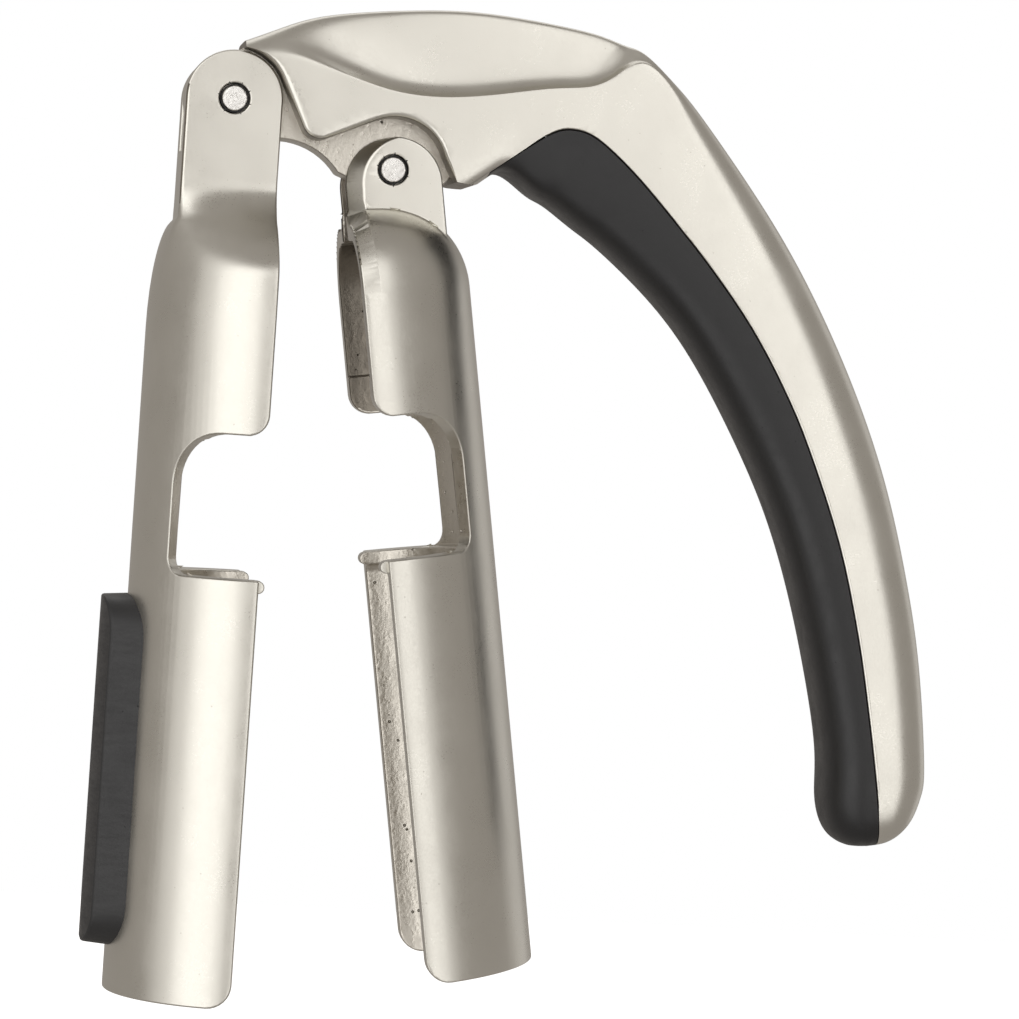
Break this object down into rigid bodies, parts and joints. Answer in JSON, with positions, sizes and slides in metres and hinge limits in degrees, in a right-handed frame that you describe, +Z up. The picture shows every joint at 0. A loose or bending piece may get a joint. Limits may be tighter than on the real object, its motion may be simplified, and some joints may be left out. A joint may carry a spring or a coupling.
{
  "type": "sparkling wine cork puller",
  "caption": "Lever-action puller for sparkling-wine corks: half-tube jaws with ledges and windows hang from a curved cast lever with a soft grip.",
  "frame": {"origin": "on the axis of the main jaw's tube, at its bottom face", "axes": "+Z up along the main jaw's tube axis, +X towards the swing jaw and the handle, +Y across, parallel to both pins"},
  "size_m": [0.1402, 0.0396, 0.1649],
  "materials": {
    "nickel": "satin nickel plate on a zinc casting",
    "pin_steel": "bright, peened ends",
    "grip": "matt, fine grain",
    "pad": "matt"
  },
  "bodies": {
    "main_jaw": {"main_jaw": "nickel", "jaw_pad": "pad", "main_pin": "pin_steel"},
    "lever": {"lever_casting": "nickel", "grip_insert": "grip"},
    "swing_jaw": {"swing_jaw": "nickel", "swing_pin": "pin_steel"}
  },
  "joints": [
    {"name": "lever_pivot", "type": "hinge", "parent": "main_jaw", "child": "lever", "pos_m": [-0.0082, 0, 0.147], "axis": [0, 1, 0], "range_deg": [-35, 26]},
    {"name": "swing_pivot", "type": "hinge", "parent": "lever", "child": "swing_jaw", "pos_m": [0.01852, 0, 0.13738], "axis": [0, 1, 0], "range_deg": [-17, 23]}
  ],
  "couplings": [
    {"joint": "swing_pivot", "follows": "lever_pivot", "ratio": -0.642}
  ]
}
